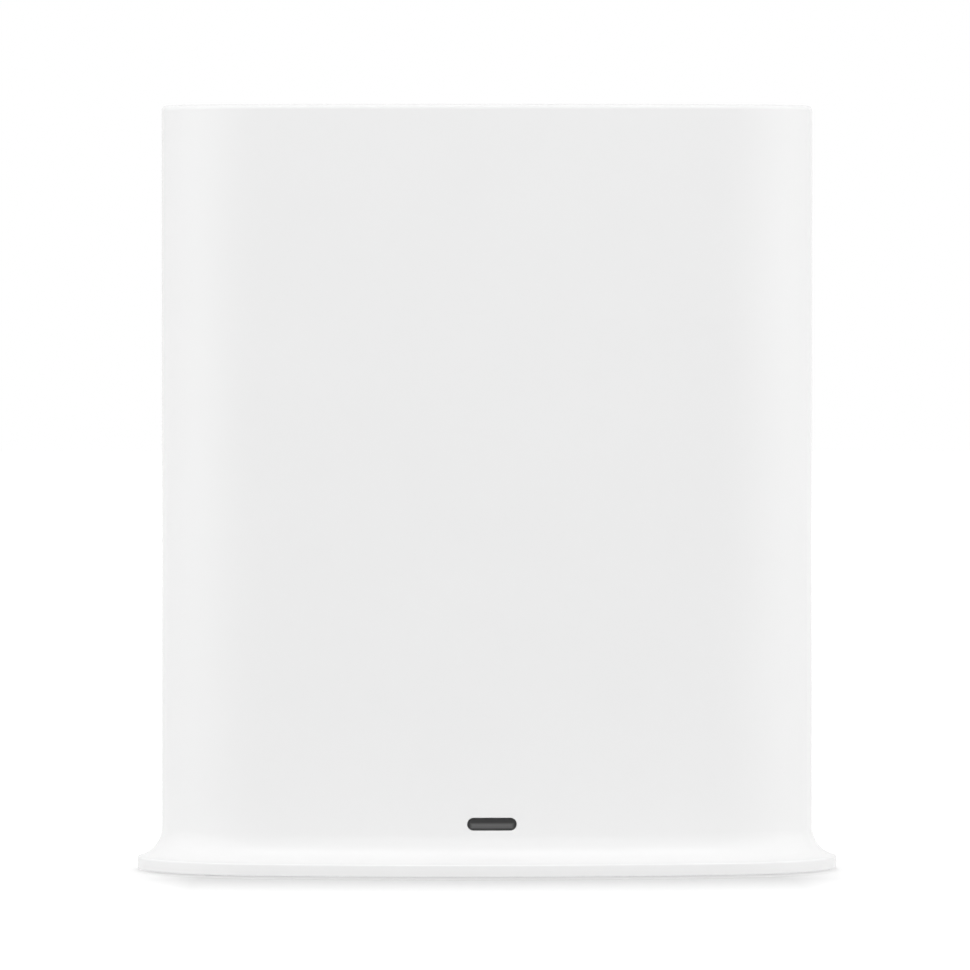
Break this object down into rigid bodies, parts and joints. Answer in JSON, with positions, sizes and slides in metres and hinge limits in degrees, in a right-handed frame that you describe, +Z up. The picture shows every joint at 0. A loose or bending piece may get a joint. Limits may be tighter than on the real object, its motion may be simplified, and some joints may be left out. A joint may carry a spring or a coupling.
{
  "type": "security camera base station",
  "caption": "Upright oval base station for wireless security cameras, with a flared foot, a status light in front, and a port panel with push buttons behind.",
  "frame": {"origin": "centre of the footprint on the table, under the feet", "axes": "+Z up, the front with the status light faces -Y, the port panel faces +Y"},
  "size_m": [0.129, 0.065, 0.141],
  "materials": {
    "white_shell": "satin",
    "panel_plastic": "fine texture",
    "base_plastic": "fine texture",
    "foot_rubber": "matt",
    "screw_steel": "zinc plated",
    "smoked_lens": "gloss",
    "clear_plastic": "clear",
    "board_green": "solder mask",
    "chip_black": "matt",
    "socket_black": "satin",
    "pad_silicone": "matt",
    "sink_aluminium": "satin",
    "pin_nylon": "satin",
    "tinned_sheet": "tinned",
    "contact_brass": "gold plated",
    "coil_ferrite": "matt",
    "can_aluminium": "satin",
    "led_white": "gloss",
    "lamp_green": "gloss",
    "button_plastic": "satin",
    "stem_plastic": "satin"
  },
  "bodies": {
    "enclosure": {"housing": "white_shell", "top_cap": "white_shell", "rear_panel": "panel_plastic", "bottom_plate": "base_plastic", "foot_front_left": "foot_rubber", "foot_front_right": "foot_rubber", "foot_rear_left": "foot_rubber", "foot_rear_right": "foot_rubber", "base_screws": "screw_steel", "board_screws": "screw_steel", "status_lens": "smoked_lens", "light_pipe": "clear_plastic", "main_board": "board_green", "processor": "chip_black", "memory_chips": "chip_black", "flash_chip": "chip_black", "radio_chip": "chip_black", "ethernet_transformer": "chip_black", "sync_switch_base": "chip_black", "reset_switch_base": "chip_black", "ethernet_jack": "socket_black", "usb_tongue": "socket_black", "power_jack": "socket_black", "thermal_pad": "pad_silicone", "heat_sink": "sink_aluminium", "heat_sink_pins": "pin_nylon", "radio_shield": "tinned_sheet", "clock_crystal": "tinned_sheet", "usb_shell": "tinned_sheet", "sync_switch_cover": "tinned_sheet", "reset_switch_cover": "tinned_sheet", "sync_switch_dome": "tinned_sheet", "reset_switch_dome": "tinned_sheet", "power_pin": "tinned_sheet", "antenna_left": "contact_brass", "antenna_right": "contact_brass", "ethernet_contacts": "contact_brass", "usb_contacts": "contact_brass", "power_spring": "contact_brass", "power_inductors": "coil_ferrite", "bulk_capacitors": "can_aluminium", "status_led": "led_white", "ethernet_lamps": "lamp_green"},
    "sync_push": {"sync_button": "button_plastic", "sync_switch_stem": "stem_plastic"},
    "reset_push": {"reset_switch_stem": "stem_plastic"}
  },
  "joints": [
    {"name": "sync_press", "type": "slide", "parent": "enclosure", "child": "sync_push", "axis": [0, -1, 0], "range_m": [0, 0.0005], "stiffness_N_per_m": 2000, "springref_m": -0.0002, "deforming": ["sync_switch_dome"]},
    {"name": "reset_press", "type": "slide", "parent": "enclosure", "child": "reset_push", "axis": [0, -1, 0], "range_m": [0, 0.0005], "stiffness_N_per_m": 2000, "springref_m": -0.0002, "deforming": ["reset_switch_dome"]}
  ]
}
